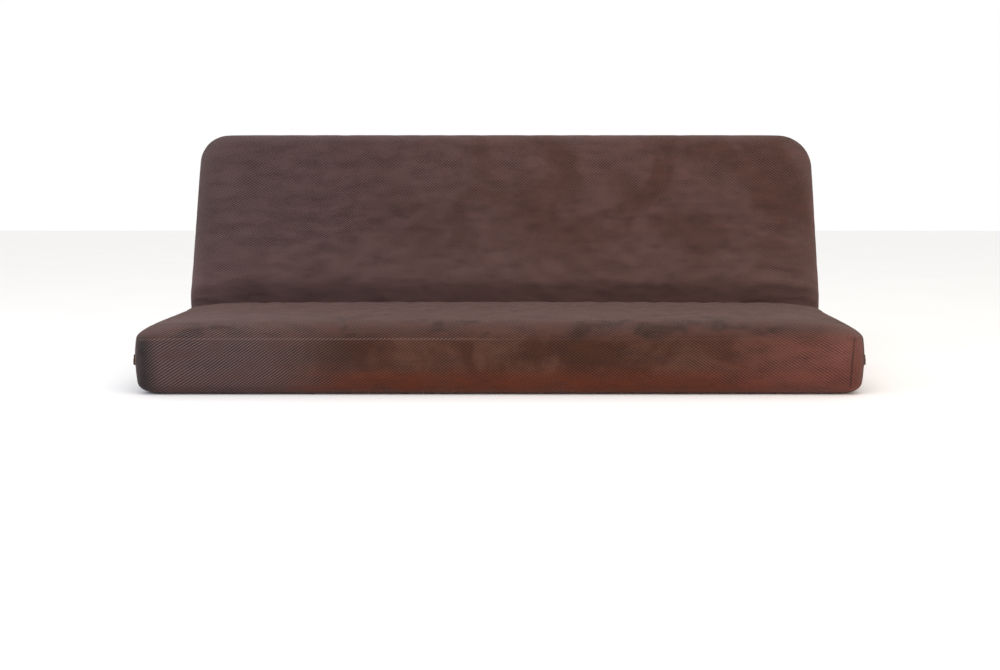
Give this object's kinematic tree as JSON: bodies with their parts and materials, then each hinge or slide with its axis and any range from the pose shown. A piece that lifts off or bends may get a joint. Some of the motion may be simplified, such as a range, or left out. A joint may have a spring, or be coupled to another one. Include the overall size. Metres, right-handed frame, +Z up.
{
  "type": "futon mattress",
  "caption": "Thick full-size futon mattress in sofa position: seat half and back half on one fold, plush zip cover over tufted foam and cotton layers.",
  "frame": {"origin": "centre of the footprint, on the plane that the seat half's underside rests on", "axes": "+X along the mattress and its fold, +Y from the front edge towards the back half, +Z up"},
  "size_m": [1.9484, 0.8873, 0.6958],
  "materials": {
    "cover_plush": "dark chocolate-brown dimpled plush, soft nap",
    "ticking_cotton": "undyed plain-woven cotton",
    "batting": "matted cotton fibre",
    "foam": "open-cell polyurethane foam",
    "tuft_felt": "pressed wool felt washer and waxed twine",
    "zip_tape": "woven polyester tape",
    "zip_coil": "nylon monofilament coil",
    "zip_metal": "dark bronze enamel on die-cast zinc",
    "label_cloth": "blank white spun-bonded cloth"
  },
  "bodies": {
    "seat": {"seat_cover": "cover_plush", "seat_lower_batting": "batting", "seat_lower_foam": "foam", "seat_middle_batting": "batting", "seat_ticking_boxing": "ticking_cotton", "seat_ticking_topside": "ticking_cotton", "seat_ticking_underside": "ticking_cotton", "seat_tuft_1": "tuft_felt", "seat_tuft_2": "tuft_felt", "seat_tuft_3": "tuft_felt", "seat_tuft_4": "tuft_felt", "seat_tuft_5": "tuft_felt", "seat_tuft_6": "tuft_felt", "seat_tuft_7": "tuft_felt", "seat_tuft_8": "tuft_felt", "seat_upper_batting": "batting", "seat_upper_foam": "foam", "seat_zip_left_coil_lower": "zip_coil", "seat_zip_left_coil_upper": "zip_coil", "seat_zip_left_tape_lower": "zip_tape", "seat_zip_left_tape_upper": "zip_tape", "seat_zip_right_coil_lower": "zip_coil", "seat_zip_right_coil_upper": "zip_coil", "seat_zip_right_tape_lower": "zip_tape", "seat_zip_right_tape_upper": "zip_tape", "zip_stop_left": "zip_metal", "zip_stop_right": "zip_metal"},
    "back": {"back_cover_front": "cover_plush", "back_cover_rear": "cover_plush", "back_lower_batting": "batting", "back_lower_foam": "foam", "back_middle_batting": "batting", "back_ticking_boxing": "ticking_cotton", "back_ticking_topside": "ticking_cotton", "back_ticking_underside": "ticking_cotton", "back_tuft_1": "tuft_felt", "back_tuft_2": "tuft_felt", "back_tuft_3": "tuft_felt", "back_tuft_4": "tuft_felt", "back_tuft_5": "tuft_felt", "back_tuft_6": "tuft_felt", "back_tuft_7": "tuft_felt", "back_tuft_8": "tuft_felt", "back_upper_batting": "batting", "back_upper_foam": "foam", "back_zip_coil_lower": "zip_coil", "back_zip_coil_upper": "zip_coil", "back_zip_tape_lower": "zip_tape", "back_zip_tape_upper": "zip_tape", "sewn_label": "label_cloth"},
    "left_slider": {"left_slider": "zip_metal"},
    "right_slider": {"right_slider": "zip_metal"},
    "left_pull": {"left_pull": "zip_metal"},
    "right_pull": {"right_pull": "zip_metal"}
  },
  "joints": [
    {"name": "fold", "type": "hinge", "parent": "seat", "child": "back", "pos_m": [0, 0.24195, 0], "axis": [-1, 0, 0], "range_deg": [0, 72]},
    {"name": "left_zip", "type": "slide", "parent": "seat", "child": "left_slider", "axis": [0, 1, 0], "range_m": [0, 0.54]},
    {"name": "right_zip", "type": "slide", "parent": "seat", "child": "right_slider", "axis": [0, 1, 0], "range_m": [0, 0.54]},
    {"name": "left_pull_swing", "type": "hinge", "parent": "left_slider", "child": "left_pull", "pos_m": [-0.9702, -0.38405, 0.0975], "axis": [0, 1, 0], "range_deg": [0, 175]},
    {"name": "right_pull_swing", "type": "hinge", "parent": "right_slider", "child": "right_pull", "pos_m": [0.9702, -0.38405, 0.0975], "axis": [0, -1, 0], "range_deg": [0, 175]}
  ]
}
